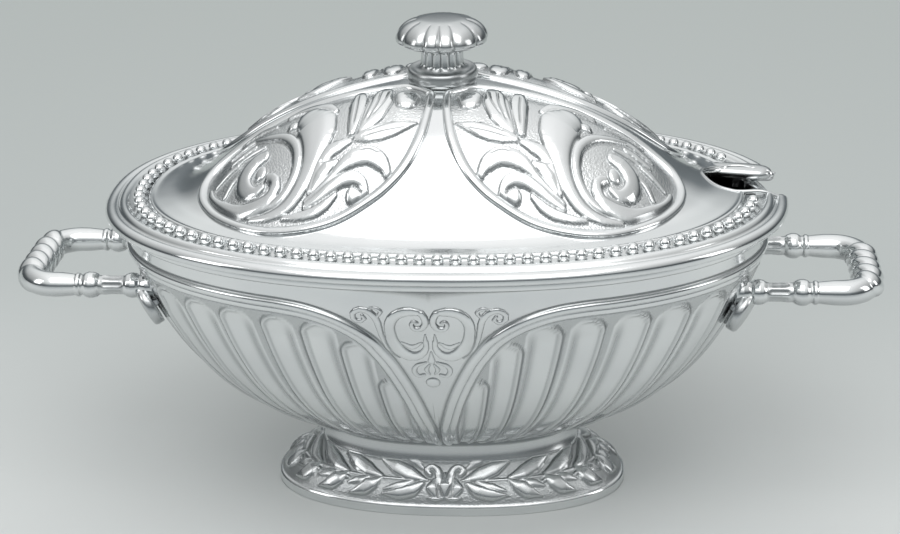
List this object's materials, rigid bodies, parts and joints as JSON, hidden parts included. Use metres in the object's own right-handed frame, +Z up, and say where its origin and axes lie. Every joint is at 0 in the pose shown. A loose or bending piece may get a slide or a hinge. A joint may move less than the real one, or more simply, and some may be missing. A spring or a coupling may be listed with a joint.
{
  "type": "tureen",
  "caption": "Oval covered serving dish in polished cast metal, with a fluted bowl on a flared foot, loop handles, and a domed lid with a ladle opening and a lobed knob.",
  "frame": {"origin": "middle of the foot's underside, on the surface the dish stands on", "axes": "+X along the oval towards the ladle opening, -Y the front long side, +Z up"},
  "size_m": [0.414, 0.2172, 0.2357],
  "materials": {
    "cast_metal": "polished cast aluminium",
    "steel": "plain stainless screws",
    "seal": "food-safe sealing washers"
  },
  "bodies": {
    "base": {"foot": "cast_metal", "bowl": "cast_metal", "handle_right": "cast_metal", "handle_left": "cast_metal", "handle_right_front_screw": "steel", "handle_right_front_washer": "seal", "handle_right_back_screw": "steel", "handle_right_back_washer": "seal", "handle_left_front_screw": "steel", "handle_left_front_washer": "seal", "handle_left_back_screw": "steel", "handle_left_back_washer": "seal", "foot_left_screw": "steel", "foot_left_washer": "seal", "foot_right_screw": "steel", "foot_right_washer": "seal"},
    "lid": {"lid": "cast_metal", "knob": "cast_metal", "knob_screw": "steel", "knob_washer": "seal"}
  },
  "joints": [
    {"name": "lid_lift", "type": "slide", "parent": "base", "child": "lid", "axis": [0, 0, 1], "range_m": [0, 0.15]}
  ]
}
